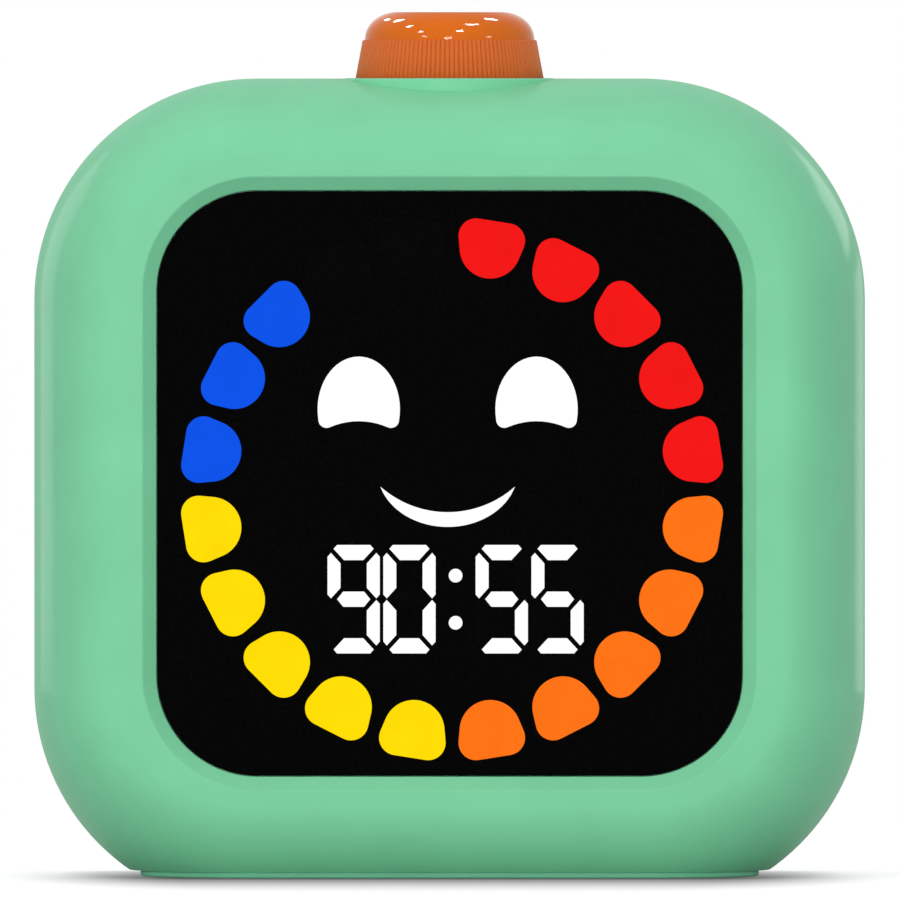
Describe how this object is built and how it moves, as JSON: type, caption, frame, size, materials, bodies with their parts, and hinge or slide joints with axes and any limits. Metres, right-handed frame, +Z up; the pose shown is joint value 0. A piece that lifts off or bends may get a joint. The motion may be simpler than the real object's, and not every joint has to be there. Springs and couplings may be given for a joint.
{
  "type": "countdown timer",
  "caption": "Rounded desk countdown timer with a ring of coloured windows, smiling face and figures on a black panel, and a ribbed press-and-turn knob on top.",
  "frame": {"origin": "middle of the underside of the base pad, on the table", "axes": "+Z up, the display faces -Y, +X is to the viewer's right, the knob axis is the Z axis"},
  "size_m": [0.085, 0.042, 0.0883],
  "materials": {
    "body_mint": "satin moulded plastic",
    "pad_mint": "matt soft rubber",
    "panel_black": "dark satin film",
    "tape_black": "matt adhesive foam",
    "window_red": "lit red diffuser",
    "window_orange": "lit orange diffuser",
    "window_yellow": "lit yellow diffuser",
    "window_blue": "lit blue diffuser",
    "window_white": "lit white diffuser",
    "window_dark": "unlit smoked diffuser",
    "white_plastic": "matt white moulding",
    "led_white": "clear light source",
    "board_green": "solder-masked laminate",
    "chip_black": "matt moulded case",
    "steel": "plated steel",
    "brass": "tinned brass",
    "knob_orange": "satin moulded plastic",
    "cap_orange": "glossy tinted plastic",
    "cell_foil": "laminated foil pouch",
    "wire_red": "wire insulation",
    "wire_black": "wire insulation",
    "lever_black": "matt moulded lever"
  },
  "bodies": {
    "housing": {"front_housing": "body_mint", "rear_cover": "body_mint", "base_pad": "pad_mint", "display_panel": "panel_black", "panel_tape": "tape_black", "red_windows": "window_red", "orange_windows": "window_orange", "yellow_windows": "window_yellow", "blue_windows": "window_blue", "unlit_windows": "window_dark", "eye_windows": "window_white", "smile_window": "window_white", "digit_windows": "window_white", "colon_windows": "window_white", "light_reflector": "white_plastic", "main_board": "board_green", "ring_leds": "led_white", "face_leds": "led_white", "digit_leds": "led_white", "control_chips": "chip_black", "board_sockets": "white_plastic", "board_screws": "steel", "encoder_bush": "steel", "encoder_case": "chip_black", "encoder_pins": "brass", "encoder_board": "board_green", "encoder_washer": "steel", "encoder_nut": "steel", "detent_ring": "steel", "switch_dome": "steel", "foam_pad": "tape_black", "battery_cell": "cell_foil", "battery_lead": "wire_red", "speaker_frame": "chip_black", "speaker_cone": "wire_black", "speaker_magnet": "steel", "speaker_lead": "wire_black", "rear_board": "board_green", "usb_shell": "steel", "usb_tongue": "chip_black", "volume_switch": "steel", "rear_board_screws": "steel", "link_cable": "wire_black", "encoder_ribbon": "wire_black", "cover_screws": "steel"},
    "push_plunger": {"push_plunger": "chip_black"},
    "knob": {"encoder_shaft": "steel", "knob_skirt": "knob_orange", "knob_cap": "cap_orange"},
    "encoder_rotor": {"encoder_rotor": "brass"},
    "volume_slider": {"volume_slider": "lever_black"}
  },
  "joints": [
    {"name": "knob_press", "type": "slide", "parent": "housing", "child": "push_plunger", "axis": [0, 0, -1], "range_m": [0, 0.0006], "stiffness_N_per_m": 1500, "springref_m": -0.001, "deforming": ["switch_dome"]},
    {"name": "knob_turn", "type": "hinge", "parent": "push_plunger", "child": "knob", "pos_m": [0, 0, 0.0817], "axis": [0, 0, 1], "continuous": true},
    {"name": "rotor_turn", "type": "hinge", "parent": "housing", "child": "encoder_rotor", "pos_m": [0, 0, 0.075], "axis": [0, 0, 1], "continuous": true},
    {"name": "volume_slide", "type": "slide", "parent": "housing", "child": "volume_slider", "axis": [1, 0, 0], "range_m": [-0.002, 0.002]}
  ],
  "couplings": [
    {"joint": "rotor_turn", "follows": "knob_turn", "ratio": 1}
  ]
}
